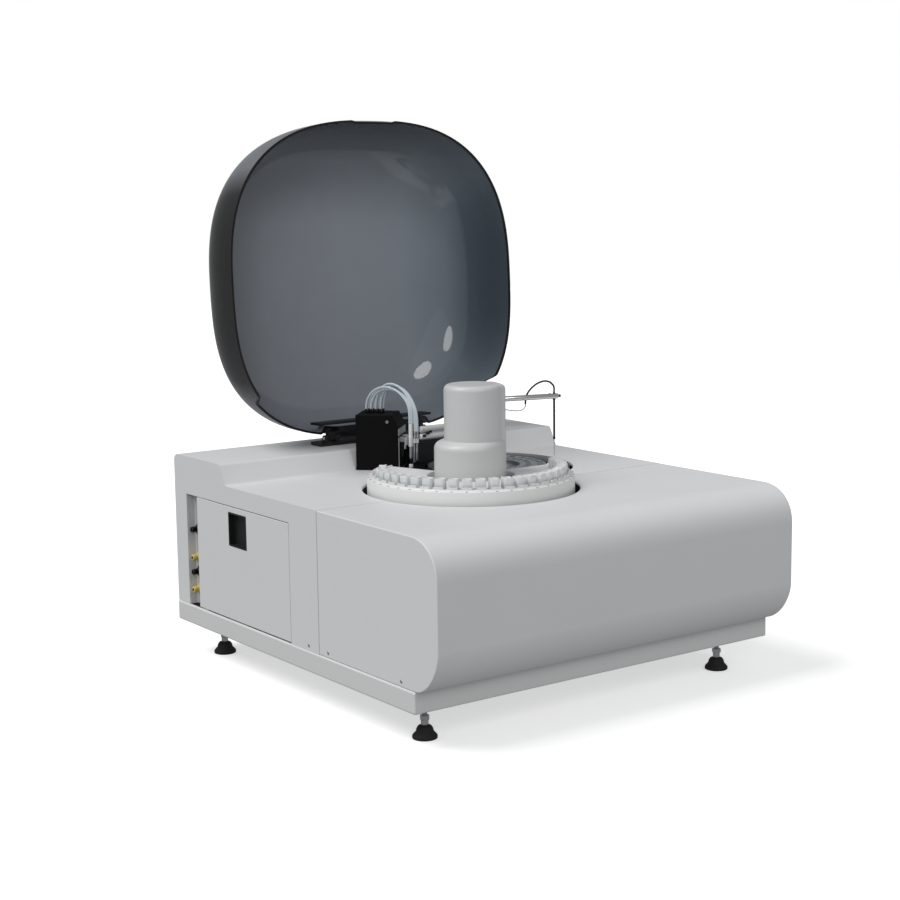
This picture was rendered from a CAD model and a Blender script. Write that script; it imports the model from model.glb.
# %% [markdown]
# This lesson dresses a benchtop chemistry analyzer in Blender. Its construction is already packed as a
# frame of plain solids that move on joints. Here every surface that shows gets a finer mesh and a finish.
# %% Load the frame
import bmesh
import bpy
import numpy as np
from mathutils import Matrix, Vector


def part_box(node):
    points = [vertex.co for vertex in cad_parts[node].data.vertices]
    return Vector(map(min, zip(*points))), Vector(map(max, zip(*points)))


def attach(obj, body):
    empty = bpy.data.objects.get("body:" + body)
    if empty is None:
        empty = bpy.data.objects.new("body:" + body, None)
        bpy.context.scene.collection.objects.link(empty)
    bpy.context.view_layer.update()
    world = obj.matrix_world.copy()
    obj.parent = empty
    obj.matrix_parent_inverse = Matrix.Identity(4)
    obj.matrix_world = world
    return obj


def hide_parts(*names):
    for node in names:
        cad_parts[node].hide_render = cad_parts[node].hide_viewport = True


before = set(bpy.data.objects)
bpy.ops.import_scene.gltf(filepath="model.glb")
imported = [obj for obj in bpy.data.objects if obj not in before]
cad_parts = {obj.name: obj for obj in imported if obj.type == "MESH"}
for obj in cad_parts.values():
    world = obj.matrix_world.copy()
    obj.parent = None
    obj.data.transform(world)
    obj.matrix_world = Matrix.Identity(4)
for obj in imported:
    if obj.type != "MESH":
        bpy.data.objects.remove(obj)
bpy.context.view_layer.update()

scene = bpy.context.scene

# %% [markdown]
# The sizes are in millimetres, with X to the right, Y to the back from the body's front, and Z up from
# the bench. The frame's own origin lies under the middle of the whole object, so one shift along Y,
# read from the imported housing, brings every piece to its place.
# %% Driving sizes
MM = 0.001
BODY_DEPTH = 764.5
HALF = 345.0
DECK = 309.8
RIDGE = 343.0
SHIFT = np.array([0.0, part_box("rear_housing")[1][1] / MM - BODY_DEPTH, 0.0])
# The covers meet at a seam with a narrow gap, and their walls are this thick.
SEAM = 310.0
SEAM_HALF = 0.35
SKIN = 4.0
# Pieces stand this far off what they sit on, and cutting tools reach this far past a surface.
SEAT = 0.3
OVERRUN = 5.0
PAN_TOP = 89.8
PAN_BOTTOM = 57.1
PAN_FRONT = 57.8
# Places of the upright axes on the deck, and the arm's heading from X in degrees.
PILLAR = np.array([-46.0, 326.0])
ROTOR = np.array([99.0, 475.0])
WASH = np.array([-33.0, 511.0])
ARM_HEADING = -15.6
print("depth shift in mm", round(float(SHIFT[1]), 3))

# %% [markdown]
# A lens can be guessed or solved. Straight edges of the body, measured in the photograph, gave this
# one its place and its turn. It goes in first, because everything is judged through it.
# %% Camera
FOCAL_PIXELS = 1732.18
FRAME_PIXELS = 900
FILM_WIDTH = 36.0
YAW, PITCH, ROLL = np.radians([35.92, 8.62, -0.716])
CAMERA_PLACE = np.array([-1664.64, -1852.81, 781.24])


def camera_axes():
    """Right, up and backward unit vectors: yaw about Z, then pitch down, then roll about the view."""
    back = np.array([-np.sin(YAW) * np.cos(PITCH), -np.cos(YAW) * np.cos(PITCH), np.sin(PITCH)])
    right = np.array([np.cos(YAW), -np.sin(YAW), 0.0])
    up = np.cross(back, right)
    return (np.cos(ROLL) * right + np.sin(ROLL) * up, -np.sin(ROLL) * right + np.cos(ROLL) * up, back)


camera_data = bpy.data.cameras.new("camera")
camera = bpy.data.objects.new("camera", camera_data)
scene.collection.objects.link(camera)
camera_data.sensor_width = FILM_WIDTH
camera_data.lens = FOCAL_PIXELS / FRAME_PIXELS * FILM_WIDTH
axes = np.eye(4)
axes[:3, 0], axes[:3, 1], axes[:3, 2] = camera_axes()
axes[:3, 3] = (CAMERA_PLACE + SHIFT) * MM
camera.matrix_world = Matrix(axes.tolist())
scene.camera = camera
print("lens in mm", round(camera_data.lens, 2))

# %% [markdown]
# Every finish is a small node tree. One function turns an sRGB hex value to linear colour, and one
# adds a node with its settings and its links, to a material or to the world.
# %% Helpers for node trees
SRGB_KNEE = 0.04045


def linear(hex_value):
    """sRGB to linear: c/12.92 under 0.04045, else ((c + 0.055) / 1.055) to the power 2.4."""
    srgb = np.array([(hex_value >> shift) & 255 for shift in (16, 8, 0)]) / 255
    low = srgb / 12.92
    high = ((srgb + 0.055) / 1.055) ** 2.4
    return (*np.where(srgb <= SRGB_KNEE, low, high).tolist(), 1.0)


def node(owner, kind, settings=None, values=None, links=None):
    """Adds one node: settings are its attributes, values its sockets, links its incoming sockets."""
    made = owner.node_tree.nodes.new(kind)
    for key, value in (settings or {}).items():
        setattr(made, key, value)
    for key, value in (values or {}).items():
        made.inputs[key].default_value = value
    for key, source in (links or {}).items():
        owner.node_tree.links.new(source, made.inputs[key])
    return made


def blank(name):
    """A material whose node tree is still empty."""
    material = bpy.data.materials.new(name)
    material.use_nodes = True
    material.node_tree.nodes.clear()
    return material


print("middle grey in linear colour", round(linear(0x808080)[0], 3))

# %% [markdown]
# The photograph has soft studio light, so the sources are wide suns: they light a big object evenly,
# where area lamps fall off. The key stands high on the left and a weak fill in front, and two narrower
# ones in front show as windows in the lid. The backdrop is pure white to the camera and dimmer as a
# light, because the photograph is a cut-out.
# %% Light and world
# Each lamp: its strength, its leans along X and Y in degrees, and its spread in degrees.
KEY = (1.95, (-34.0, 10.0), 35.0)
FILL = (0.15, (-14.0, -56.0), 50.0)
WINDOWS = ((0.36, (0.0, -50.0), 17.0), (0.34, (-38.0, -56.0), 17.0))
WHITE = (1, 1, 1, 1)
COOL_WHITE = (0.97, 0.985, 1, 1)
BACKDROP_GLOW = 1.0
WORLD_GLOW = 0.3


def broad_light(name, strength, lean, spread):
    """A wide sun: it shines from (sin a, sin b, cos a cos b), for its leans a along X and b along Y."""
    data = bpy.data.lights.new(name, "SUN")
    data.energy = strength
    data.angle = float(np.radians(spread))
    light = bpy.data.objects.new(name, data)
    scene.collection.objects.link(light)
    a, b = np.radians(lean)
    source = np.array([np.sin(a), np.sin(b), np.cos(a) * np.cos(b)])
    light.rotation_euler = Vector(-source).to_track_quat("-Z", "Y").to_euler()


broad_light("key_light", *KEY)
broad_light("front_fill", *FILL)
for index, window in enumerate(WINDOWS, 1):
    broad_light(f"window_light_{index}", *window)
world = bpy.data.worlds.new("cove")
world.use_nodes = True
world.node_tree.nodes.clear()
seen = node(world, "ShaderNodeBackground", values={"Color": WHITE, "Strength": BACKDROP_GLOW})
lit = node(world, "ShaderNodeBackground", values={"Color": COOL_WHITE, "Strength": WORLD_GLOW})
ray = node(world, "ShaderNodeLightPath").outputs["Is Camera Ray"]
cove = node(world, "ShaderNodeMixShader", links={0: ray, 1: lit.outputs[0], 2: seen.outputs[0]})
node(world, "ShaderNodeOutputWorld", links={"Surface": cove.outputs[0]})
scene.world = world
scene.view_settings.view_transform = "Standard"
print("lights", len(bpy.data.lights))

# %% [markdown]
# Most pieces are coated or moulded: one colour with a fine grain that breaks up the shine, and slow
# clouds that keep a large panel from looking drawn. Both patterns read Object coordinates in metres.
# %% Coated and moulded surfaces
# Fourteen clouds lie on a metre, so each is about 71 mm wide.
CLOUD_MM = 1000 / 14
ROUGH_SPREAD = 0.05
GRAIN_STRENGTH = 0.6
GRAIN_DETAIL, CLOUD_DETAIL = 2.0, 3.0


def coated(name, hex_value, roughness, metallic=0.0, grain_mm=0.8, bump_mm=0.01, mottle=0.03, **sockets):
    """A coloured surface: grain for its bump, and slow clouds that vary its colour and roughness."""
    material = blank(name)
    place = node(material, "ShaderNodeTexCoord").outputs["Object"]
    grain = node(material, "ShaderNodeTexNoise", links={"Vector": place},
                 values={"Scale": 1 / (grain_mm * MM), "Detail": GRAIN_DETAIL})
    clouds = node(material, "ShaderNodeTexNoise", links={"Vector": place},
                  values={"Scale": 1 / (CLOUD_MM * MM), "Detail": CLOUD_DETAIL})
    base = np.array(linear(hex_value)[:3])
    darker, lighter = [(*np.clip(base * (1 + part), 0, 1).tolist(), 1.0) for part in (-mottle, mottle)]
    tint = node(material, "ShaderNodeMix", {"data_type": "RGBA"}, {6: darker, 7: lighter},
                {0: clouds.outputs[0]})
    rough = node(material, "ShaderNodeMapRange", links={"Value": clouds.outputs[0]},
                 values={"To Min": roughness - ROUGH_SPREAD, "To Max": roughness + ROUGH_SPREAD})
    bump = node(material, "ShaderNodeBump", links={"Height": grain.outputs[0]},
                values={"Strength": GRAIN_STRENGTH, "Distance": bump_mm * MM})
    shader = node(material, "ShaderNodeBsdfPrincipled", values={"Metallic": metallic, **sockets},
                  links={"Base Color": tint.outputs[2], "Roughness": rough.outputs[0],
                         "Normal": bump.outputs[0]})
    node(material, "ShaderNodeOutputMaterial", links={"Surface": shader.outputs[0]})
    return material


# Powder coat: an orange peel of about a millimetre gives large panels a soft, broken shine.
powder_coat = coated("powder_coat", 0xDADBDC, 0.5, grain_mm=1.1, bump_mm=0.02, mottle=0.015)
pan_coat = coated("pan_powder_coat", 0xD6D6D6, 0.52, grain_mm=1.1, bump_mm=0.02, mottle=0.015)
# Moulded ABS: a finer spark grain and a smoother shine than the coat beside it.
moulded_white = coated("moulded_abs_white", 0xE2E3E2, 0.42, grain_mm=0.6, bump_mm=0.008, mottle=0.01)
cover_white = coated("satin_cover_white", 0xC9CACA, 0.38, grain_mm=0.7, bump_mm=0.006, mottle=0.01)
# Black plastics: textured ABS stays dull, acetal catches narrow lights, and rubber is the dullest.
matte_black = coated("textured_black_abs", 0x121214, 0.55, grain_mm=0.5, bump_mm=0.01, mottle=0.1)
gloss_black = coated("black_acetal", 0x0D0D0F, 0.28, grain_mm=0.5, bump_mm=0.004, mottle=0.1)
rubber = coated("moulded_rubber", 0x0F0F10, 0.75, grain_mm=0.9, bump_mm=0.03, mottle=0.12)
# Moulded nylon: warm yellow, a little waxy.
port_yellow = coated("moulded_nylon_yellow", 0xD8C46A, 0.4, grain_mm=0.5, bump_mm=0.008)
# Aluminium: bead blasting scatters the light into an even grey bloom, and anodising tints or blackens it.
cast_alloy = coated("bead_blasted_aluminium", 0xB4B8BD, 0.4, 1.0, grain_mm=0.35, bump_mm=0.012)
bowl_blue = coated("anodised_blue_grey", 0x5A6B7C, 0.38, 0.6, grain_mm=0.35, bump_mm=0.006)
block_black = coated("black_anodised_block", 0x060607, 0.6, bump_mm=0.004,
                     **{"Specular IOR Level": 0.12})
bracket_grey = coated("grey_bracket_plate", 0xA6A8AB, 0.45, 0.3, bump_mm=0.004)
# Enamel on the motors and solder mask on the board: smooth, with a plain sheen.
motor_grey = coated("dark_grey_enamel", 0x3A3C40, 0.45, grain_mm=0.8, bump_mm=0.01)
board_green = coated("solder_mask_green", 0x1F5A38, 0.3, grain_mm=1.2, bump_mm=0.01, mottle=0.2)
# Printed ink: flat, dark and without grain.
mark_grey = coated("printed_mark_grey", 0x6E7276, 0.5, bump_mm=0.0)
print("materials so far", len(bpy.data.materials))

# %% [markdown]
# Bare metal keeps the fine lines of its tool. Noise gives them when it changes slowly along the lines
# and quickly across them, so each stretch below is small in the direction that its lines run.
# %% Bare metals
# Real tool lines are finer than this and wouldn't show, so they are drawn coarser.
LINE_MM = 0.15
LINE_STRENGTH, LINE_DEPTH_MM = 0.4, 0.004
SMOOTHER, ROUGHER = 0.06, 0.1
UPRIGHT_LINES = (1, 1, 0.03)
LINES_ALONG_X = (0.05, 1, 1)
LEVEL_LINES = (0.05, 0.05, 1)


def brushed(name, hex_value, roughness, stretch):
    """A metal whose lines vary its roughness and lift its surface by a few thousandths of a millimetre."""
    material = blank(name)
    place = node(material, "ShaderNodeTexCoord").outputs["Object"]
    squeezed = node(material, "ShaderNodeMapping", values={"Scale": stretch}, links={"Vector": place})
    lines = node(material, "ShaderNodeTexNoise", links={"Vector": squeezed.outputs[0]},
                 values={"Scale": 1 / (LINE_MM * MM), "Detail": GRAIN_DETAIL})
    rough = node(material, "ShaderNodeMapRange", links={"Value": lines.outputs[0]},
                 values={"To Min": roughness - SMOOTHER, "To Max": roughness + ROUGHER})
    bump = node(material, "ShaderNodeBump", links={"Height": lines.outputs[0]},
                values={"Strength": LINE_STRENGTH, "Distance": LINE_DEPTH_MM * MM})
    shader = node(material, "ShaderNodeBsdfPrincipled",
                  values={"Metallic": 1.0, "Base Color": linear(hex_value)},
                  links={"Roughness": rough.outputs[0], "Normal": bump.outputs[0]})
    node(material, "ShaderNodeOutputMaterial", links={"Surface": shader.outputs[0]})
    return material


# Stainless steel is bright and clear, zinc plate greyer and softer, blackened steel dark with a glint.
steel = brushed("turned_stainless_steel", 0xC9CACC, 0.2, UPRIGHT_LINES)
arm_steel = brushed("drawn_stainless_tube", 0xE2E2E4, 0.13, LINES_ALONG_X)
zinc = brushed("zinc_plated_steel", 0xB9BBBD, 0.3, LEVEL_LINES)
gunmetal = brushed("blackened_steel", 0x303134, 0.35, UPRIGHT_LINES)
print("materials so far", len(bpy.data.materials))

# %% [markdown]
# Silicone, polypropylene and the cuvettes let light through. The more milky the plastic, the less of
# its light passes straight and the more comes back from its body, so each has its own transmission.
# %% See-through plastics
HAZE_MM = 6.0
HAZE_LOW, HAZE_HIGH = 0.7, 1.4


def clear(name, hex_value, roughness, ior, transmission):
    """A see-through plastic, tinted at each face, with a slight haze in its roughness."""
    material = blank(name)
    place = node(material, "ShaderNodeTexCoord").outputs["Object"]
    haze = node(material, "ShaderNodeTexNoise", links={"Vector": place},
                values={"Scale": 1 / (HAZE_MM * MM), "Detail": CLOUD_DETAIL})
    rough = node(material, "ShaderNodeMapRange", links={"Value": haze.outputs[0]},
                 values={"To Min": roughness * HAZE_LOW, "To Max": roughness * HAZE_HIGH})
    shader = node(material, "ShaderNodeBsdfPrincipled", links={"Roughness": rough.outputs[0]},
                  values={"Base Color": linear(hex_value), "IOR": ior, "Transmission Weight": transmission})
    node(material, "ShaderNodeOutputMaterial", links={"Surface": shader.outputs[0]})
    return material


# Polypropylene is milky with a soft skin, silicone wet and smooth, and a cuvette nearly invisible.
polypropylene = clear("moulded_polypropylene", 0xF4F6F6, 0.35, 1.49, 0.3)
milky = clear("milky_silicone", 0xE6F0F6, 0.22, 1.41, 0.3)
silicone = clear("clear_silicone", 0xE9F0F4, 0.12, 1.41, 0.82)
cuvette_plastic = clear("clear_cuvette_plastic", 0xDCE4EA, 0.08, 1.5, 0.9)
print("materials so far", len(bpy.data.materials))

# %% [markdown]
# The lid is smoked acrylic. A clear tinted shader alone would show the white backdrop through it, and
# the photograph shows a grey haze instead, so it is mixed with a glossy body. The body's colour runs
# over the lid's width and height, because the photograph's own reflections make its sides dark.
# %% Smoked acrylic
ACRYLIC_IOR = 1.49
ACRYLIC_ROUGHNESS = 0.035
SMOKE_TINT = 0x8B949E
SMOKE_BODY = (0.68, 0.8)
SMOKE_CLOUD_MM = 90.0
# Each stop is a place in metres and a colour there, from the left wall, which is the darkest.
SMOKE_STOPS = ((-0.285, 0x020202), (-0.262, 0x161719), (-0.235, 0x80858C), (-0.13, 0x9DA2AA),
               (0.02, 0xA9AEB8), (0.16, 0xA6AFB8), (0.24, 0x8E9AA4), (0.285, 0x56636E))
# From the lid's foot to its top when it is open. The two colours are multiplied.
SMOKE_RISE = ((0.36, 0xE8E8E8), (0.5, 0xF4F4F4), (0.72, 0xFFFFFF), (0.83, 0xEEEEEE), (0.9, 0x8E8E8E))


def stops_along(material, value, stops):
    """A colour ramp on a value in metres: share = (place - first) / (last - first)."""
    low, high = stops[0][0], stops[-1][0]
    spread = node(material, "ShaderNodeMapRange", values={"From Min": low, "From Max": high},
                  links={"Value": value})
    colours = node(material, "ShaderNodeValToRGB", links={"Fac": spread.outputs[0]})
    made = colours.color_ramp.elements
    for index, (place, hex_value) in enumerate(stops):
        share = (place - low) / (high - low)
        stop = made.new(share) if 0 < index < len(stops) - 1 else made[0 if index == 0 else -1]
        stop.position = share
        stop.color = linear(hex_value)
    return colours.outputs[0]


smoked = blank("smoked_acrylic")
place = node(smoked, "ShaderNodeTexCoord").outputs["Object"]
cloud = node(smoked, "ShaderNodeTexNoise", links={"Vector": place},
             values={"Scale": 1 / (SMOKE_CLOUD_MM * MM), "Detail": GRAIN_DETAIL})
split = node(smoked, "ShaderNodeSeparateXYZ", links={"Vector": place})
across = stops_along(smoked, split.outputs["X"], SMOKE_STOPS)
upward = stops_along(smoked, split.outputs["Z"], SMOKE_RISE)
tint = node(smoked, "ShaderNodeMix", {"data_type": "RGBA", "blend_type": "MULTIPLY"}, {0: 1.0},
            {6: across, 7: upward})
share = node(smoked, "ShaderNodeMapRange", links={"Value": cloud.outputs[0]},
             values={"To Min": SMOKE_BODY[0], "To Max": SMOKE_BODY[1]})
glass = node(smoked, "ShaderNodeBsdfPrincipled",
             values={"Base Color": linear(SMOKE_TINT), "Roughness": ACRYLIC_ROUGHNESS, "IOR": ACRYLIC_IOR,
                     "Transmission Weight": 1.0})
body = node(smoked, "ShaderNodeBsdfPrincipled", links={"Base Color": tint.outputs[2]},
            values={"Roughness": ACRYLIC_ROUGHNESS, "IOR": ACRYLIC_IOR})
mixed = node(smoked, "ShaderNodeMixShader",
             links={0: share.outputs[0], 1: glass.outputs[0], 2: body.outputs[0]})
node(smoked, "ShaderNodeOutputMaterial", links={"Surface": mixed.outputs[0]})
print("materials, with the frame's own", len(bpy.data.materials))

# %% [markdown]
# A form is a pair: an array of points in millimetres and a list of faces. Pieces are worked out as
# grids, joined as plain arrays, turned and moved, and put into a mesh only once.
# %% Grids and places


def quads(rows, columns, wrap_rows=False, wrap_columns=False):
    """Faces of a row-by-column grid: each joins (j, i), (j, i+1), (j+1, i+1), (j+1, i)."""
    j, i = np.meshgrid(np.arange(rows if wrap_rows else rows - 1),
                       np.arange(columns if wrap_columns else columns - 1), indexing="ij")
    nj, ni = (j + 1) % rows, (i + 1) % columns
    corners = np.stack([j * columns + i, j * columns + ni, nj * columns + ni, nj * columns + i], -1)
    return corners.reshape(-1, 4).tolist()


def merged(*forms):
    """Stacks forms: the faces of each are counted on from the points before it."""
    points, faces, count = [], [], 0
    for some_points, some_faces in forms:
        points.append(some_points)
        faces += [[index + count for index in face] for face in some_faces]
        count += len(some_points)
    return np.concatenate(points), faces


def moved(form, x=0.0, y=0.0, z=0.0):
    """Adds an offset in millimetres to every point."""
    return form[0] + np.array([x, y, z]), form[1]


def placed(form, heading, place):
    """Turns a form about Z, x' = x cos a - y sin a and y' = x sin a + y cos a, then moves it to a place."""
    angle = np.radians(heading)
    spin = np.array([[np.cos(angle), np.sin(angle)], [-np.sin(angle), np.cos(angle)]])
    return moved((np.column_stack([form[0][:, :2] @ spin, form[0][:, 2]]), form[1]), *place)


def turns(count):
    """Equal turns round a circle, in radians."""
    return 2 * np.pi * np.arange(count) / count


def ramp(value, start, end):
    """0 at the start, 1 at the end, straight between them and level outside."""
    return np.clip((value - start) / (end - start), 0, 1)


print("faces of a closed 4 by 6 grid", len(quads(4, 6, False, True)))

# %% [markdown]
# Sheet and moulded pieces start from an outline. Its corners are rounded by true arcs, and its wide
# curves are superellipses, which stay flatter on their sides than a circle and so look stamped.
# %% Outlines


def rounded(corners, steps=5):
    """Open outline with arcs: a corner (a, b, r) becomes steps+1 points tangent to both its sides."""
    outline = []
    for k, corner in enumerate(corners):
        radius = corner[2] if len(corner) > 2 else 0
        here = np.array(corner[:2], float)
        if radius == 0 or k in (0, len(corners) - 1):
            outline.append(here[None])
            continue
        before = np.array(corners[k - 1][:2], float) - here
        after = np.array(corners[k + 1][:2], float) - here
        one, two = before / np.linalg.norm(before), after / np.linalg.norm(after)
        half = np.arccos(np.clip(one @ two, -1, 1)) / 2
        reach = radius / np.tan(half)
        middle = here + (one + two) / np.linalg.norm(one + two) * radius / np.sin(half)
        first, last = here + one * reach - middle, here + two * reach - middle
        sweep = np.pi - 2 * half
        share = np.linspace(0, 1, steps + 1)[:, None]
        outline.append(middle + (np.sin((1 - share) * sweep) * first + np.sin(share * sweep) * last)
                       / np.sin(sweep))
    return np.concatenate(outline)


def over_deck(corners, steps=4):
    """A rounded outline whose corners are given by radius, height over the deck and rounding."""
    return rounded([(corner[0], DECK + corner[1], *corner[2:]) for corner in corners], steps)


def circle(t):
    """Two columns, cos t and sin t: a circle with a radius of one."""
    return np.column_stack([np.cos(t), np.sin(t)])


def superellipse(t, half, power):
    """Two columns: a cos t and b sin t, each with its cosine or sine raised to 2/n, signs kept."""
    wave = circle(t)
    return np.sign(wave) * np.abs(wave) ** (2 / np.reshape(power, (-1, 1))) * half


print("points of a rounded corner", len(rounded([(0, 0), (1, 0, 0.2), (1, 1)])))

# %% [markdown]
# A turned piece carries its outline round an axis, and a folded one draws it straight. Both close
# their ends, so that a boolean cut always finds a solid.
# %% Turned and drawn forms


def lathe(profile, centre=(0.0, 0.0), sides=96, start=0.0, sweep=360.0):
    """Turns an [r, z] profile: x = cx + r cos a, y = cy + r sin a. A part turn gets flat ends."""
    profile = np.asarray(profile, float)
    whole = sweep >= 360
    angle = np.radians(start) + np.radians(sweep) * np.arange(sides if whole else sides + 1) / sides
    grid = np.empty((len(profile), len(angle), 3))
    grid[..., 0] = centre[0] + profile[:, :1] * np.cos(angle)
    grid[..., 1] = centre[1] + profile[:, :1] * np.sin(angle)
    grid[..., 2] = profile[:, 1:2]
    closed = profile[0, 0] > 0 or profile[-1, 0] > 0
    faces = quads(len(profile), len(angle), closed, whole)
    if not whole:
        ends = np.arange(len(profile)) * len(angle)
        faces += [ends.tolist(), (ends + len(angle) - 1)[::-1].tolist()]
    return grid.reshape(-1, 3), faces


def drawn(outline, low, high, axis="z"):
    """Draws a closed outline along an axis: 'z' takes [x, y], 'x' takes [y, z], 'y' takes [x, z]."""
    outline = np.asarray(outline, float)
    count = len(outline)
    columns = {"z": (0, 1, 2), "x": (1, 2, 0), "y": (0, 2, 1)}[axis]
    points = np.empty((2 * count, 3))
    points[:, columns[0]] = np.tile(outline[:, 0], 2)
    points[:, columns[1]] = np.tile(outline[:, 1], 2)
    points[:, columns[2]] = np.repeat([low, high], count)
    return points, quads(2, count, False, True) + [list(range(count))[::-1], list(range(count, 2 * count))]


def block(x, y, z):
    """A box from three [low, high] pairs."""
    return drawn([[x[0], y[0]], [x[1], y[0]], [x[1], y[1]], [x[0], y[1]]], *z)


def ring_profile(radii, levels):
    """The four corners of a ring's section, from two radii and two levels; a zero radius makes it full."""
    return [(radii[0], levels[0]), (radii[1], levels[0]), (radii[1], levels[1]), (radii[0], levels[1])]


def rod(radius, low, high, centre, axis="z", edge=0.0, sides=32):
    """A round bar along an axis with softened rims; centre gives its place on the other two."""
    edge = min(edge, radius * 0.5)
    profile = rounded([(0, low), (radius, low, edge), (radius, high, edge), (0, high)], 3)
    points, faces = lathe(profile, (0, 0), sides)
    order = {"z": (0, 1, 2), "x": (2, 0, 1), "y": (1, 2, 0)}[axis]
    place = {"z": (centre[0], centre[1], 0), "x": (0, centre[0], centre[1]),
             "y": (centre[0], 0, centre[1])}[axis]
    return points[:, order] + np.array(place, float), faces


def deck_rod(radius, low, high, place, edge, sides=20):
    """An upright rod between two heights over the deck."""
    return rod(radius, DECK + low, DECK + high, place, "z", edge, sides)


def facing(form, axis):
    """Turns a form whose top looks up so that it looks along -x, -y, +x or +y."""
    x, y, z = form[0].T
    turned = {"-x": (-z, y, x), "+x": (z, y, -x), "-y": (x, -z, y), "+y": (x, z, -y)}[axis]
    return np.column_stack(turned), form[1]


print("points of a turned disc", len(lathe(ring_profile((0, 1), (0, 1)))[0]))

# %% [markdown]
# Hoses and tubes follow a smooth curve through a few hand-chosen points. The ring that is carried
# along it is never turned about the curve, so its faces don't twist.
# %% Tubes on a path


def smooth_path(path, steps):
    """Catmull-Rom curve: each span blends four neighbours with the cubic weights of its share."""
    path = np.asarray(path, float)
    padded = np.concatenate([2 * path[:1] - path[1:2], path, 2 * path[-1:] - path[-2:-1]])
    place = np.linspace(0, len(path) - 1, steps)
    span = np.minimum(place.astype(int), len(path) - 2)
    t = (place - span)[:, None]
    p0, p1, p2, p3 = (padded[span + k] for k in range(4))
    return 0.5 * (2 * p1 + (p2 - p0) * t + (2 * p0 - 5 * p1 + 4 * p2 - p3) * t ** 2
                  + (3 * p1 - p0 - 3 * p2 + p3) * t ** 3)


def route_length(path, steps=200):
    """Length of the curve through a path's points, summed over short straight steps."""
    return float(np.linalg.norm(np.diff(smooth_path(path, steps), axis=0), axis=1).sum())


def capped(grid):
    """The form of a tube's rings, with both ends closed."""
    rows, sides, _ = grid.shape
    count = rows * sides
    ends = [list(range(sides))[::-1], list(range(count - sides, count))]
    return grid.reshape(-1, 3), quads(rows, sides, False, True) + ends


def along(path, radius, sides, steps):
    """A round tube: each side vector is the last one less its part along the curve, made unit length."""
    path = smooth_path(path, steps)
    forward = np.gradient(path, axis=0)
    forward /= np.linalg.norm(forward, axis=1, keepdims=True)
    seed = np.array([0.0, 0.0, 1.0]) if abs(forward[0, 2]) < 0.9 else np.array([1.0, 0.0, 0.0])
    side = np.empty_like(forward)
    side[0] = np.cross(forward[0], seed)
    for k in range(1, len(path)):
        side[k] = side[k - 1] - forward[k] * (side[k - 1] @ forward[k])
        side[k] /= np.linalg.norm(side[k])
    side[0] /= np.linalg.norm(side[0])
    other = np.cross(forward, side)
    angle = turns(sides)[None, :, None]
    return capped(path[:, None] + radius * (np.cos(angle) * side[:, None] + np.sin(angle) * other[:, None]))


print("a straight route measures", route_length([(0, 0, 0), (0, 0, 10)]))

# %% [markdown]
# A finished piece sits at the origin with its place in its mesh. Its doubles are merged, its faces
# turned outwards, and it then rides on a body of the frame and takes a slot from the record.
# %% Making a piece
SMOOTH_ANGLE = float(np.radians(38))
BEVEL_ANGLE = float(np.radians(40))
# Points closer together than this, in metres, become one.
DOUBLE = 1e-6


def smooth(piece):
    """Smooth shading, kept sharp where two faces meet at more than the smooth angle."""
    piece.data.polygons.foreach_set("use_smooth", np.ones(len(piece.data.polygons), bool))
    piece.data.set_sharp_from_angle(angle=SMOOTH_ANGLE)


def soften(piece, width, segments=3):
    """A small round on every sharp edge, with the flats kept flat by hardened normals."""
    bevel = piece.modifiers.new("edge", "BEVEL")
    bevel.width = width * MM
    bevel.segments = segments
    bevel.limit_method = "ANGLE"
    bevel.angle_limit = BEVEL_ANGLE
    bevel.harden_normals = True


def put(name, form, material, body="base", replaces=(), edge=0.0, segments=3):
    """Makes the object of a form, in metres, and tells the frame what it rides on and stands for."""
    points, faces = form
    mesh = bpy.data.meshes.new(name)
    mesh.from_pydata(((points + SHIFT) * MM).tolist(), [], faces)
    work = bmesh.new()
    work.from_mesh(mesh)
    bmesh.ops.remove_doubles(work, verts=work.verts, dist=DOUBLE)
    bmesh.ops.recalc_face_normals(work, faces=work.faces)
    work.to_mesh(mesh)
    work.free()
    piece = bpy.data.objects.new(name, mesh)
    scene.collection.objects.link(piece)
    mesh.materials.append(material)
    smooth(piece)
    if edge:
        soften(piece, edge, segments)
    if body:
        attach(piece, body)
    if replaces:
        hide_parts(*replaces)
    return piece


print("shading stays sharp over degrees", round(float(np.degrees(SMOOTH_ANGLE))))

# %% [markdown]
# Openings are cut by exact booleans, each one applied at once, so that the finished mesh is plain.
# Solids of the frame that keep their own shape only get a finish.
# %% Cutting and dressing


def cut(piece, *forms, operation="DIFFERENCE"):
    """Takes forms away from a piece, or adds them, one after the other."""
    for form in forms:
        tool = put("tool", form, piece.data.materials[0], body=None)
        modifier = piece.modifiers.new("cut", "BOOLEAN")
        modifier.operation = operation
        modifier.solver = "EXACT"
        modifier.object = tool
        bpy.context.view_layer.update()
        view = bpy.context.evaluated_depsgraph_get()
        made = bpy.data.meshes.new_from_object(piece.evaluated_get(view))
        piece.modifiers.clear()
        old = piece.data
        piece.data = made
        bpy.data.meshes.remove(old)
        bpy.data.objects.remove(tool)
    smooth(piece)


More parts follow.
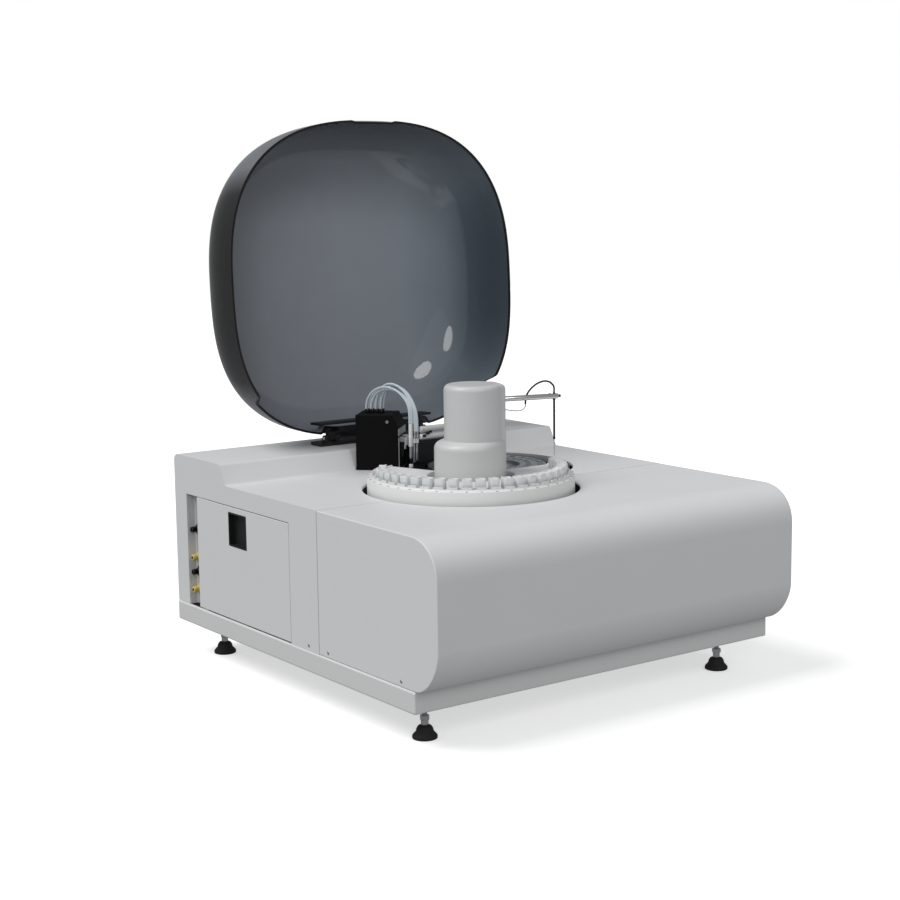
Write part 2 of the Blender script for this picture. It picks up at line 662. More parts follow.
kept_shapes = {
    cast_alloy: ("turret_mast", "power_supply"),
    steel: ("hinge_pin", "rotor_shaft", "motor_pulley", "door_hinge_rod"),
    matte_black: ("hinge_plate", "hinge_yoke", "hinge_base", "well_liner", "power_inlet", "rocker_switch",
                  "fan_rotor"),
    motor_grey: ("lift_carriage", "rotor_motor", "swivel_motor", "chassis", "syringe_pump"),
    powder_coat: ("connector_panel", "rear_panel"),
    rubber: ("drive_belt",),
    board_green: ("main_board",),
}
for material, names in kept_shapes.items():
    for name in names:
        target = bpy.data.objects[name]
        target.data.materials.clear()
        target.data.materials.append(material)
print("solids that keep their shape", sum(len(names) for names in kept_shapes.values()))

# %% [markdown]
# The floor is plain white paper. It glows a little, so that it stays as white as the backdrop, and it
# sends no light up, because in the photograph the underside of the nose is the darkest part.
# %% Floor
FLOOR_HALF = 9000.0
FLOOR_LEVELS = (-20.0, -0.2)
PAPER_ROUGHNESS = 0.95
PAPER_GLOW = 0.45
floor_finish = blank("white_paper")
paper = node(floor_finish, "ShaderNodeBsdfPrincipled",
             values={"Base Color": linear(0xF2F2F2), "Roughness": PAPER_ROUGHNESS,
                     "Emission Color": WHITE, "Emission Strength": PAPER_GLOW})
node(floor_finish, "ShaderNodeOutputMaterial", links={"Surface": paper.outputs[0]})
floor = put("floor", block((-FLOOR_HALF, FLOOR_HALF), (-FLOOR_HALF, FLOOR_HALF), FLOOR_LEVELS),
            floor_finish, body=None)
floor.visible_diffuse = False
floor.visible_glossy = False
floor.visible_transmission = False
print("floor width in metres", 2 * FLOOR_HALF * MM)

# %% [markdown]
# The front cover is one folded and rolled sheet: its side outline has a wide superellipse at the top
# and a flatter one under the nose. The outline is drawn across the body, hollowed, and bored where
# the sample tray sits.
# %% Front cover
# The flat face stands at this depth. Each curve has two reaches, a power and its steps.
FACE = 3.0
TOP_CURVE, TOP_POWER, TOP_STEPS = (63.0, 60.0), 2.2, 36
LOW_CURVE, LOW_POWER, LOW_STEPS = (54.0, 65.0), 1.75, 28
# The hollow's floor goes on this far behind the curve under the nose.
SHELF_ROOM = 18.0
SHELL_FOOT = PAN_TOP + SEAT
OPENING_RADIUS = 173.4
ROTOR_OPENING = 147.0
OPENING_REAR = 584.0
HOLE_REACH = 9.0


def quarter(centre, reach, power, steps):
    """A quarter of a superellipse about a centre, for t from 0 to a right angle."""
    return superellipse(np.linspace(0, np.pi / 2, steps + 1), reach, power) + centre


def nose_outline(inset, back, foot):
    """Side outline of the cover: foot, back, top curve, flat face, curve under the nose."""
    top = quarter((FACE + TOP_CURVE[0], DECK - TOP_CURVE[1]),
                  (inset - TOP_CURVE[0], TOP_CURVE[1] - inset), TOP_POWER, TOP_STEPS)[::-1]
    low = quarter((FACE + LOW_CURVE[0], SHELL_FOOT + LOW_CURVE[1]),
                  (inset - LOW_CURVE[0], inset - LOW_CURVE[1]), LOW_POWER, LOW_STEPS)
    shelf = FACE + LOW_CURVE[0] + SHELF_ROOM
    toe = [[shelf, SHELL_FOOT + inset], [shelf, foot]] if inset else np.empty((0, 2))
    return np.concatenate([[[back, foot], [back, DECK - inset]], top, low, toe])


def deck_holes(low, high):
    """The tray's round opening and the rotor's, the second cut straight at its rear."""
    tray = lathe(ring_profile((0, OPENING_RADIUS), (low, high)), PILLAR, 160)
    ring = ROTOR + ROTOR_OPENING * circle(turns(140))
    ring[:, 1] = np.minimum(ring[:, 1], OPENING_REAR)
    return tray, drawn(ring, low, high)


cover_form = drawn(nose_outline(0, SEAM - SEAM_HALF, SHELL_FOOT), -HALF, HALF, "x")
front_cover = put("rolled_front_cover", cover_form, powder_coat, replaces=["front_cover"])
hollow = drawn(nose_outline(SKIN, SEAM + OVERRUN, SHELL_FOOT - OVERRUN), -HALF + SKIN, HALF - SKIN, "x")
cut(front_cover, hollow, *deck_holes(DECK - HOLE_REACH, DECK + HOLE_REACH))
soften(front_cover, 1.6, 4)
print("front cover faces", len(front_cover.data.polygons))

# %% [markdown]
# The rear housing carries a ridge across the whole width. Its foot is a soft inside bend and its top
# edge a soft outside one. The doorway, the notches for the wash station and the rear window are cut.
# %% Rear housing
RIDGE_FOOT = 588.7
RIDGE_SLOPE = 17.3
BACK_BEND, CREST_BEND, FOOT_BEND = 12.0, 6.0, 7.0
# An inner outline moves back a little more than it moves in, because the ridge's face leans.
LEAN_SHARE = 1.25
DOOR = (392.0, 688.0, 91.8, 278.0)
DOOR_GAP = 1.5
RECESS_BACK = 724.0
BLOCK_CENTRE = np.array([-46.0, 582.7])
BLOCK_SIZE = (72.8, 66.0, 94.0)
BLOCK_HEADING = -45.0
REAR_COVER = (8.0, 180.0, 572.0, 622.0)
REAR_COVER_HEIGHT = 40.0
REAR_WINDOW = (-280.0, 280.0, 112.0, 292.0)
NOTCH_GAP = 1.5
WALL_REACH = 8.0


def ridge_outline(inset, front, foot):
    """Side outline of the housing with its ridge, each bend rounded."""
    shift = inset * LEAN_SHARE
    back = BODY_DEPTH - inset
    corners = [(front, foot), (back, foot), (back, RIDGE - inset, BACK_BEND - inset),
               (RIDGE_FOOT + RIDGE_SLOPE + shift, RIDGE - inset, CREST_BEND),
               (RIDGE_FOOT + shift, DECK - inset, FOOT_BEND), (front, DECK - inset)]
    return rounded(corners, 8)


def ridge_notches(inset):
    """Spaces in the ridge for the turned wash block and for the cover behind the rotor."""
    margin = NOTCH_GAP + inset
    levels = (DECK - inset, RIDGE + OVERRUN)
    half_x, half_y = BLOCK_SIZE[0] / 2 + margin, BLOCK_SIZE[1] / 2 + margin
    left, right, front, back = REAR_COVER
    for_block = block((-half_x, half_x), (-half_y, half_y), levels)
    for_cover = block((left - margin, right + margin), (front - margin, back + margin), levels)
    return placed(for_block, BLOCK_HEADING, BLOCK_CENTRE), for_cover


housing_form = drawn(ridge_outline(0, SEAM + SEAM_HALF, SHELL_FOOT), -HALF, HALF, "x")
rear_housing = put("ridged_rear_housing", housing_form, powder_coat,
                   replaces=["rear_housing"])
doorway = block((-HALF - OVERRUN, -HALF + WALL_REACH), (DOOR[0] - DOOR_GAP, RECESS_BACK),
                (SHELL_FOOT - OVERRUN, DOOR[3] + DOOR_GAP))
window = block(REAR_WINDOW[:2], (BODY_DEPTH - WALL_REACH, BODY_DEPTH + OVERRUN), REAR_WINDOW[2:])
cavity = drawn(ridge_outline(SKIN, SEAM - OVERRUN, SHELL_FOOT - OVERRUN), -HALF + SKIN, HALF - SKIN, "x")
lining = put("lining", cavity, powder_coat, body=None)
cut(lining, *ridge_notches(SKIN))
lining_form = (np.array([vertex.co for vertex in lining.data.vertices]) / MM - SHIFT,
               [list(face.vertices) for face in lining.data.polygons])
bpy.data.objects.remove(lining)
cut(rear_housing, lining_form, *ridge_notches(0), *deck_holes(DECK - HOLE_REACH, RIDGE), doorway, window)
soften(rear_housing, 1.2, 3)
print("rear housing faces", len(rear_housing.data.polygons))

# %% [markdown]
# The base pan is a folded tray that stands a little proud of the sides, so that the covers drop on to
# it. Small pan-head screws hold the covers just above it.
# %% Base pan and its screws
PAN_HALF = HALF + 1.8
PAN_WALL = 6.0
PAN_FLOOR = 3.0
SCREW_LEVEL = 98.0
SCREW_SINK = 0.4
LEFT_SCREWS = (92.0, 284.0, 339.0)
RIGHT_SCREWS = (*LEFT_SCREWS, 560.0, 735.0)
pan_form = block((-PAN_HALF, PAN_HALF), (PAN_FRONT, BODY_DEPTH), (PAN_BOTTOM, PAN_TOP))
base_pan = put("folded_base_pan", pan_form, pan_coat, replaces=["base_pan"])
inside = block((-PAN_HALF + PAN_WALL, PAN_HALF - PAN_WALL), (PAN_FRONT + PAN_WALL, BODY_DEPTH - PAN_WALL),
               (PAN_BOTTOM + PAN_FLOOR, PAN_TOP + OVERRUN))
cut(base_pan, inside)
soften(base_pan, 3.0, 4)


def screw_head(radius, height):
    """A low dome: it stands straight for half its height, then rounds over to a small flat top."""
    profile = [(0, -SCREW_SINK), (radius, -SCREW_SINK), (radius, height * 0.5, 0.3),
               (radius * 0.55, height, 0.6), (0, height)]
    return lathe(rounded(profile, 4), (0, 0), 24)


side_screws = [moved(facing(screw_head(2.6, 1.0), "-x"), -HALF, y, SCREW_LEVEL) for y in LEFT_SCREWS]
side_screws += [moved(facing(screw_head(2.6, 1.0), "+x"), HALF, y, SCREW_LEVEL) for y in RIGHT_SCREWS]
put("cover_screws", merged(*side_screws), zinc)
print("cover screws", len(side_screws))

# %% [markdown]
# A levelling foot is a moulded rubber bell on a threaded stud, with a hexagon for the spanner. The
# thread is a real ridge: a profile with a tooth per pitch, turned with its phase advancing.
# %% Levelling feet
FEET = [(x, y) for y in (114.0, 706.4) for x in (-290.7, 290.7)]
THREAD_RADIUS = 4.0
THREAD_PITCH = 1.25
THREAD_DEPTH = 0.55
THREAD_SIDES = 28
ROWS_PER_TURN = 6
STUD_LEVELS = (14.3, 88.0)
NUT_ACROSS = 13.0
NUT_LEVELS = (27.6, 34.0)
COLLAR_RADIUS = 5.6
COLLAR_LEVELS = (19.3, 27.3)
# Radius, height and rounding from the flat sole up the short skirt and the hollow shoulder.
BELL = [(0, 0), (18.5, 0, 1.2), (18.5, 4.2, 1.4), (15.6, 7.6, 3), (13.2, 10.0, 3), (12.2, 14.6, 3),
        (9.6, 18.6, 2.2), (4.4, 19.0), (4.4, 14.0), (0, 14.0)]


def threaded(place, low, high):
    """A screw thread: r = R - depth * |2 s - 1|, with s the fraction of z / pitch - a / 2 pi."""
    levels = np.linspace(low, high, int((high - low) / THREAD_PITCH * ROWS_PER_TURN))[:, None]
    angle = turns(THREAD_SIDES)
    phase = (levels / THREAD_PITCH - angle / (2 * np.pi)) % 1
    r = THREAD_RADIUS - THREAD_DEPTH * np.abs(2 * phase - 1)
    heights = np.repeat(levels, THREAD_SIDES, 1)
    return capped(np.stack([place[0] + r * np.cos(angle), place[1] + r * np.sin(angle), heights], -1))


def hexagon(place, across, low, high):
    """A hexagonal nut drawn between two heights: its corners lie at across / sqrt 3 from the axis."""
    return drawn(circle(turns(6)) * across / np.sqrt(3) + place, low, high)


for index, place in enumerate(FEET, 1):
    foot, stud = f"foot_{index}", [f"foot_stud_{index}"]
    put(f"foot_bell_{index}", lathe(rounded(BELL, 5), place, 64), rubber, foot,
        [f"foot_pad_{index}"])
    put(f"foot_thread_{index}", threaded(place, *STUD_LEVELS), zinc, foot, stud)
    put(f"foot_hexagon_{index}", hexagon(place, NUT_ACROSS, *NUT_LEVELS), zinc, foot,
        edge=0.5)
    put(f"foot_collar_{index}", rod(COLLAR_RADIUS, *COLLAR_LEVELS, place, "z", 0.6, 32), zinc, foot)
print("feet", len(FEET))

# %% [markdown]
# The smoked lid is one moulded dome. Its rim is a superellipse, rounder on its far half than by the
# hinge, and its wall rises as a superellipse too, so it is steep at the rim and flat on its crown.
# %% Lid dome
LID_HALF = np.array([287.3, 269.0])
LID_CENTRE = 277.5
LID_FOOT = np.array([0.0, 635.0, 350.7])
LID_LEAN = np.radians(3.0)
LID_DEPTH = 168.0
LID_WALL = 3.0
FAR_POWER, NEAR_POWER, WALL_POWER = 2.6, 2.92, 3.6
LID_COLUMNS, LID_RINGS = 480, 56
# Rings lie closer together near the rim, where the wall bends most.
CLIMB_POWER = 1.35
# By the hinge the lid stays this deep at least, from the first height down and fading at the second.
RECESS_DEPTH, RECESS_FULL, RECESS_END = 28.0, 76.0, 93.0
# A shallow notch in the far rim: its middle, half width, slope and depth, and where it fades.
NOTCH_X, NOTCH_HALF, NOTCH_SLOPE, NOTCH_DEPTH = 5.7, 42.3, 4.0, 3.0
NOTCH_START, NOTCH_END, NOTCH_WALL = 500.0, 520.0, 9.0
# The pockets for the hinge's two lugs: their middle, half width, slope and height, and their limits.
LUG_X, LUG_HALF, LUG_SLOPE, LUG_HEIGHT = 93.0, 13.0, 6.0, 12.0
LUG_FULL, LUG_END, LUG_LIMIT = 48.0, 56.0, 60.0


def lid_points(across, up, deep):
    """From the lid's own plane to the body: leaned back about its lower edge."""
    y = LID_FOOT[1] + up * np.sin(LID_LEAN) + deep * np.cos(LID_LEAN)
    z = LID_FOOT[2] + up * np.cos(LID_LEAN) - deep * np.sin(LID_LEAN)
    return np.stack([across, y, z], -1)


def rim_curve(t, inset):
    """x = a |cos t|^(2/n) and s = b |sin t|^(2/n), where n differs between the far half and the near."""
    return superellipse(t, LID_HALF - inset, np.where(np.sin(t) > 0, FAR_POWER, NEAR_POWER))


def rim_turns(columns):
    """Turns whose rim points lie evenly spaced: the arc length, summed over a fine curve, is inverted."""
    fine = np.linspace(0, 2 * np.pi, 8001)
    length = np.concatenate([[0], np.cumsum(np.linalg.norm(np.diff(rim_curve(fine, 0), axis=0), axis=1))])
    return np.interp(np.arange(columns) / columns * length[-1], length, fine)


def dome_surface(inset):
    """Ring at climb c: the rim scaled by cos(c)^(2/m), at depth D sin(c)^(2/m), then its three shapings."""
    rim = rim_curve(rim_turns(LID_COLUMNS), inset)
    climb = np.pi / 2 * np.linspace(0, 1, LID_RINGS)[:, None] ** CLIMB_POWER
    scale = np.cos(climb) ** (2 / WALL_POWER)
    deep = np.repeat((LID_DEPTH - inset) * np.sin(climb) ** (2 / WALL_POWER), LID_COLUMNS, 1)
    x = scale * rim[:, 0]
    up = LID_CENTRE + scale * rim[:, 1]
    step = ramp(up, RECESS_END, RECESS_FULL)
    deep = np.maximum(deep, RECESS_DEPTH * step ** 2 * (3 - 2 * step))
    notch = ramp(np.abs(x - NOTCH_X), NOTCH_HALF, NOTCH_HALF - NOTCH_SLOPE)
    notch = notch * ramp(up, NOTCH_START, NOTCH_END) * ramp(deep, NOTCH_WALL, 0)
    pocket = ramp(np.abs(np.abs(x) - LUG_X), LUG_HALF + LUG_SLOPE, LUG_HALF)
    pocket = pocket * ramp(deep, LUG_END, LUG_FULL) * (up < LUG_LIMIT)
    return lid_points(x, up - NOTCH_DEPTH * notch + LUG_HEIGHT * pocket, deep)


def closed_shell(outer, inner):
    """Outer and inner grids joined round their first rows; each crown is closed by its last row."""
    joined = np.concatenate([outer[::-1], inner])
    return joined.reshape(-1, 3), quads(len(joined), joined.shape[1], False, True)


outer_dome, inner_dome = dome_surface(0.0), dome_surface(LID_WALL)
lid = put("smoked_lid_dome", closed_shell(outer_dome, inner_dome), smoked, "lid_frame",
          ["lid"])
print("lid faces", len(lid.data.polygons))

# %% [markdown]
# A thin black bumper goes round the rim, where the lid meets the deck, and a black block joins the
# lid to its hinge between the lugs.
# %% Lid bumper and hinge block
BAND_PROUD, BAND_WIDTH = 0.35, 2.2
HINGE_BLOCK = ((-80.0, 80.0), (664.0, 692.0), (354.8, 371.2))


def rim_band(proud, width):
    """A four-cornered band round the rim: corners a little outside the wall and a width up it."""
    outer, inner = outer_dome[0], inner_dome[0]
    away = (outer - inner) / np.linalg.norm(outer - inner, axis=1, keepdims=True) * proud
    deep = lid_points(0.0, 0.0, 1.0) - lid_points(0.0, 0.0, 0.0)
    loops = [outer + away - proud * deep, inner - away - proud * deep,
             inner - away + width * deep, outer + away + width * deep]
    return np.concatenate(loops), quads(4, len(outer), True, True)


put("lid_rim_band", rim_band(BAND_PROUD, BAND_WIDTH), gloss_black, "lid_frame")
put("lid_hinge_block", block(*HINGE_BLOCK), matte_black, "lid_frame", edge=1.0)
print("bumper width in mm", BAND_WIDTH)

# %% [markdown]
# The turret cover is a moulded can: a wide lower drum, a round shoulder, a narrower upper drum and a
# flat-sided strip down the side that the arm leaves by. Its outline is one radius for each heading
# and height, with the larger of drum and strip taken by a soft maximum.
# %% Turret cover
COVER_FOOT = DECK - 36.0
COVER_TOP = DECK + 165.0
COVER_WALL = 3.0
COVER_EDGE = 9.0
CROWN_RISE = 0.6
STRIP_REACH, STRIP_HALF, STRIP_POWER = 53.5, 26.0, 7.0
SLOT_WIDTH = 12.0
SLOT_LEVELS = (DECK + 84, DECK + 146)
SLOT_REACH = (42.0, 60.0)
SHOULDER = (DECK + 62.0, DECK + 77.0)
SHOULDER_ROWS = np.linspace(DECK + 58, DECK + 80, 40)
SHOULDER_POWER, BULGE_POWER = 2.6, 1.3
UPPER_RADIUS, EXTRA_RADIUS = 46.0, 10.5
UPPER_ASIDE, EXTRA_ASIDE = 4.5, -6.0
BLEND = 0.7
COVER_SIDES = 200


def drum_radius(height, heading):
    """Off-centre circle: r = d cos h + sqrt(R^2 - d^2 sin^2 h); R and d run over the shoulder."""
    bulge = np.sqrt(1 - ramp(height, *SHOULDER) ** SHOULDER_POWER) ** BULGE_POWER
    radius = UPPER_RADIUS + EXTRA_RADIUS * bulge
    aside = UPPER_ASIDE + EXTRA_ASIDE * bulge
    return aside * np.cos(heading) + np.sqrt(radius ** 2 - (aside * np.sin(heading)) ** 2)


def strip_radius(heading):
    """Distance to a rounded rectangle's edge: ((c/a)^n + (s/b)^n)^(-1/n) on the arm's side, else 0."""
    c, s = np.cos(heading), np.abs(np.sin(heading))
    sides = (np.clip(c, 0, 1) / STRIP_REACH) ** STRIP_POWER + (s / STRIP_HALF) ** STRIP_POWER
    return np.where(c > 0, sides ** (-1 / STRIP_POWER), 0.0)


def can_surface(inset):
    """r = ln(e^(k drum) + e^(k strip)) / k - inset by height, then the edge rolled over to the axis."""
    heading = turns(COVER_SIDES)
    top = COVER_TOP - inset
    heights = np.concatenate([[COVER_FOOT], SHOULDER_ROWS - inset * 0.5, [top - COVER_EDGE]])
    rows = []
    for z in heights:
        drum = drum_radius(z + inset * 0.5, heading)
        soft = np.logaddexp(drum * BLEND, strip_radius(heading) * BLEND) / BLEND
        rows.append((soft - inset, z))
    inner = rows[-1][0] - COVER_EDGE
    rows += [(inner + COVER_EDGE * np.cos(a), top - COVER_EDGE + COVER_EDGE * np.sin(a))
             for a in np.linspace(0, np.pi / 2, 10)[1:]]
    rows += [(inner * k, top - CROWN_RISE * k ** 2) for k in np.linspace(1, 0, 12)[1:]]
    angle = heading + np.radians(ARM_HEADING)
    return np.stack([np.column_stack([PILLAR[0] + r * np.cos(angle), PILLAR[1] + r * np.sin(angle),
                                      np.full(COVER_SIDES, z)]) for r, z in rows])


can_form = closed_shell(can_surface(0.0), can_surface(COVER_WALL))
turret_cover = put("moulded_turret_cover", can_form, cover_white, "turret", ["turret_cover"])
slot_tool = block(SLOT_REACH, (-SLOT_WIDTH / 2, SLOT_WIDTH / 2), SLOT_LEVELS)
cut(turret_cover, placed(slot_tool, ARM_HEADING, PILLAR))
print("turret cover faces", len(turret_cover.data.polygons))

# %% [markdown]
# The probe arm is a steel tube with a black end plug. Its pieces are made along X from the turret's
# axis and turned to the arm's heading, and all of them ride on the lifting body.
# %% Probe arm
ARM_LEVEL = DECK + 138.0
ARM_RADIUS = 4.35
ARM_START, ARM_END = 14.5, 151.0
PLUG_RADIUS, PLUG_LENGTH = 2.3, 5.0
PROBE = np.array([144.7, 0.0])
# Radius, lower and upper height over the deck: the sleeve, its collar under the arm and its tip.
SLEEVE_STACK = ((1.75, 68.0, 146.0), (2.4, 132.0, 133.8), (2.0, 68.0, 72.0))
NEEDLE = [(0, 40), (0.25, 40), (0.65, 43), (0.65, 67.7), (0, 67.7)]
# Radius, place along the arm and height above its middle.
NUBS = ((1.6, 54.0, 6.4), (1.3, 137.0, 5.0))
NUB_FOOT = 3.8


def arm_piece(name, form, material, replaces=()):
    """A piece on the lifting body, given on the arm's own line."""
    return put(name, placed(form, ARM_HEADING, PILLAR), material, "probe_arm", replaces)


arm_piece("arm_steel_tube", rod(ARM_RADIUS, ARM_START, ARM_END, (0, ARM_LEVEL), "x", 0.5, 40), arm_steel,
          ["arm_tube"])
arm_piece("arm_end_plug", rod(PLUG_RADIUS, ARM_END, ARM_END + PLUG_LENGTH, (0, ARM_LEVEL), "x", 0.8),
          gloss_black, ["arm_end_cap"])
sleeve = merged(*[deck_rod(radius, low, high, PROBE, 0.4, 32) for radius, low, high in SLEEVE_STACK])
arm_piece("probe_black_sleeve", sleeve, gloss_black, ["probe_sleeve"])
arm_piece("probe_steel_needle", lathe(over_deck(NEEDLE), PROBE, 20), steel, ["probe_needle"])
nubs = [rod(radius, ARM_LEVEL + NUB_FOOT, ARM_LEVEL + top, (x, 0), "z", 0.4) for radius, x, top in NUBS]
arm_piece("arm_top_nubs", merged(*nubs), gloss_black)
print("arm length in mm", ARM_END - ARM_START)

# %% [markdown]
# A black hose crosses the arm and arches over to the probe. A thin clear line carries on from its
# lower end, sags below the arm and goes into the turret.
# %% Hose and clear line
HOSE_RADIUS, LINE_RADIUS = 1.5, 0.9
HOSE_LOW = ARM_LEVEL - ARM_RADIUS - 6.0
hose_path = [(94.6, 0, HOSE_LOW), (95.4, 0, ARM_LEVEL), (98.5, 0, ARM_LEVEL + 7), (106, 0, ARM_LEVEL + 15.5),
             (116, 0, ARM_LEVEL + 22), (127, 0, ARM_LEVEL + 25), (137, 0, ARM_LEVEL + 23),
             (143.4, 0, ARM_LEVEL + 17), (PROBE[0], 0, DECK + 150), (PROBE[0], 0, DECK + 146.3)]
line_path = [(95, 0, HOSE_LOW - 0.3), (94.4, 0, HOSE_LOW - 4), (90, 0, HOSE_LOW - 8.5),
             (81, 0, HOSE_LOW - 10), (68, 0, HOSE_LOW - 8.5), (52, 0, HOSE_LOW - 5),
             (36, 0, HOSE_LOW - 1.5), (27.8, 0, HOSE_LOW)]
arm_piece("arm_black_hose", along(hose_path, HOSE_RADIUS, 18, 120), rubber, ["arm_hose"])
arm_piece("arm_clear_line", along(line_path, LINE_RADIUS, 12, 80), silicone,
          ["arm_clear_tube"])
print("routes in mm", round(route_length(hose_path), 1), round(route_length(line_path), 1))

# %% [markdown]
# The sample tray is a C of moulded plastic. Its outline is turned through the angle that it covers,
# with a low lip, a raised crown cut in segments and short marks, one for each place.
# %% Sample tray
TRAY_START, TRAY_SWEEP = 109.0, 251.0
PLATE = DECK + 20.5
PLATE_UNDER = PLATE - 2.5
WELL_FLOOR = 251.3
HUB_INSIDE, HUB_OUTSIDE = 69.0, 71.5
SKIRT_INSIDE, SKIRT_OUTSIDE = 162.5, 165.0
SKIRT_FOOT = DECK - 18.0
CROWN_FOOT = DECK + 22.6
# Outline of radius and height: hub foot, plate underside, skirt, low lip, crown step and plate top.
TRAY = [(HUB_INSIDE, WELL_FLOOR + SEAT), (HUB_OUTSIDE, WELL_FLOOR + SEAT), (HUB_OUTSIDE, PLATE_UNDER),
        (SKIRT_INSIDE, PLATE_UNDER), (SKIRT_INSIDE, SKIRT_FOOT), (SKIRT_OUTSIDE, SKIRT_FOOT),
        (SKIRT_OUTSIDE, PLATE, 1.4), (158.6, PLATE, 0.8), (158.0, CROWN_FOOT, 0.4), (155.5, CROWN_FOOT, 0.4),
        (155.3, PLATE, 0.8), (HUB_INSIDE, PLATE, 2.0), (HUB_INSIDE, WELL_FLOOR + SEAT + 0.1)]
CUP_FIRST, CUP_LAST, CUP_COUNT = 158.3, 344.4, 24
CUP_PITCH = (CUP_LAST - CUP_FIRST) / (CUP_COUNT - 1)
# Marks start this many places before the first cup and end before this heading in degrees.
PLACES_BEFORE, LAST_MARK = 5, 357.0
# The crown's segments fill a share of a place, and a mark's width is in degrees.
CROWN_RADII, CROWN_LEVELS, CROWN_SHARE = (155.6, 158.0), (DECK + 22.0, DECK + 26.0), 0.72
MARK_RADII, MARK_LEVELS, MARK_WIDTH = (161.0, 164.4), (PLATE - 0.1, PLATE + 0.18), 1.15
# A small tab at the tray's end, whose use is a guess: something to lift it by.
GRIP_SIZE = ((-6.0, 6.0), (-1.8, 1.8), (PLATE - 0.2, DECK + 27.5))
GRIP_REACH, GRIP_HEADING = 154.5, 121.0
places = np.arange(CUP_FIRST - PLACES_BEFORE * CUP_PITCH, LAST_MARK, CUP_PITCH)


def arc_block(radii, heading, width, levels, steps):
    """A short piece of ring, between two radii and two heights, over a width in degrees."""
    return lathe(ring_profile(radii, levels), PILLAR, steps, heading - width / 2, width)


put("moulded_sample_tray", lathe(rounded(TRAY, 4), PILLAR, 220, TRAY_START, TRAY_SWEEP), moulded_white,
    replaces=["sample_tray"])
crown = [arc_block(CROWN_RADII, heading, CUP_PITCH * CROWN_SHARE, CROWN_LEVELS, 3) for heading in places]
put("tray_crown_segments", merged(*crown), polypropylene, edge=0.4, segments=2)
marks = [arc_block(MARK_RADII, heading, MARK_WIDTH, MARK_LEVELS, 1) for heading in places]
put("tray_index_marks", merged(*marks), mark_grey)
tab = moved(block(*GRIP_SIZE), GRIP_REACH)
put("tray_grip_tab", placed(tab, GRIP_HEADING, PILLAR), moulded_white, edge=0.8)
print("places on the tray", len(places))

# %% [markdown]
# A sample cup is a rounded square beaker with a round bore, moulded in milky polypropylene. Its wall
# is lofted between a square outline and a circle, all on one grid of heading and height.
# %% Sample cups
CUP_RADIUS = 144.7
CUP_TOP = DECK + 37.7
CUP_FOOT = PLATE + SEAT
CUP_POWER = 40 / 9
CUP_SIDES = 40
WEB_HALF, WEB_THICK = 4.0, 1.6
# Half sizes across and along, and a height: first the square outside, then the round bore.
OUTSIDE = ((0, 0, CUP_FOOT), (7.6, 6.8, CUP_FOOT), (8.4, 7.5, CUP_FOOT + 1.2), (8.8, 7.9, CUP_TOP - 1.4),
           (8.5, 7.6, CUP_TOP - 0.3), (8.0, 7.2, CUP_TOP))
BORE = ((5.9, CUP_TOP), (5.5, CUP_TOP - 0.5), (5.2, CUP_TOP - 1.5), (5.0, CUP_TOP - 12.5),
        (3.6, CUP_TOP - 15.0), (0, CUP_TOP - 15.3))


def cup_form(heading):
    """Rows from outer foot to bore floor: superellipse |x/a|^n + |y/b|^n = 1 outside, circle inside."""
    t = turns(CUP_SIDES)
    rows = [(superellipse(t, (a, b), CUP_POWER), z) for a, b, z in OUTSIDE]
    rows += [(circle(t) * radius, z) for radius, z in BORE]
    grid = np.array([np.column_stack([plan, np.full(CUP_SIDES, z)]) for plan, z in rows])
    form = grid.reshape(-1, 3), quads(len(rows), CUP_SIDES, False, True)
    return placed(moved(form, CUP_RADIUS), heading, PILLAR)


cups = [cup_form(CUP_FIRST + CUP_PITCH * k) for k in range(CUP_COUNT)]
web = lathe(ring_profile((CUP_RADIUS - WEB_HALF, CUP_RADIUS + WEB_HALF), (CUP_FOOT, CUP_FOOT + WEB_THICK)),
            PILLAR, 90, CUP_FIRST, CUP_PITCH * (CUP_COUNT - 2))
put("moulded_cup_ring", merged(*cups[:-1], web), polypropylene, replaces=["cup_ring"])
put("moulded_probe_cup", cups[-1], polypropylene, replaces=["probe_cup"])
print("cups", len(cups))

# %% [markdown]
# The reaction rotor is a bead-blasted ring with two rows of square cuvette pockets round a blue-grey
# bowl. A clear cuvette stands in each pocket.
# %% Reaction rotor
RING_TOP = DECK + 4.0
RING_RADII, RING_THICK = (56.0, 101.5), 14.0
RING_FOOT = RING_TOP - RING_THICK
BOWL = [(0, 292.5), (101.3, 292.5), (101.3, 299.5), (54, 299.5), (50, 299.2, 4), (14, 296.0, 3),
        (13, 299.6, 1), (0, 299.6)]
RING = [(RING_RADII[0], RING_FOOT), (RING_RADII[1], RING_FOOT), (RING_RADII[1], RING_TOP, 1.0),
        (RING_RADII[0], RING_TOP, 1.0), (RING_RADII[0], RING_FOOT + 0.1)]
# Each row of pockets: the reach of its middle from the axis and its width.
POCKET_ROWS = ((92.0, 11.0), (72.0, 9.0))
POCKET_COUNT = 30
POCKET_DEPTH = 10.0
CUVETTE_GAP, CUVETTE_WALL = 0.6, 0.9
CUVETTE_FOOT, CUVETTE_FLOOR, CUVETTE_LIP = -9.6, -8.0, 0.9


def ring_of(form):
    """Copies of a form at equal headings round the rotor's axis."""
    return merged(*[placed(form, 360 * k / POCKET_COUNT, ROTOR) for k in range(POCKET_COUNT)])


def pocket(reach, width):
    """The square hole for one cuvette."""
    half = width / 2
    return block((reach - half, reach + half), (-half, half), (RING_TOP - POCKET_DEPTH, RING_TOP + OVERRUN))


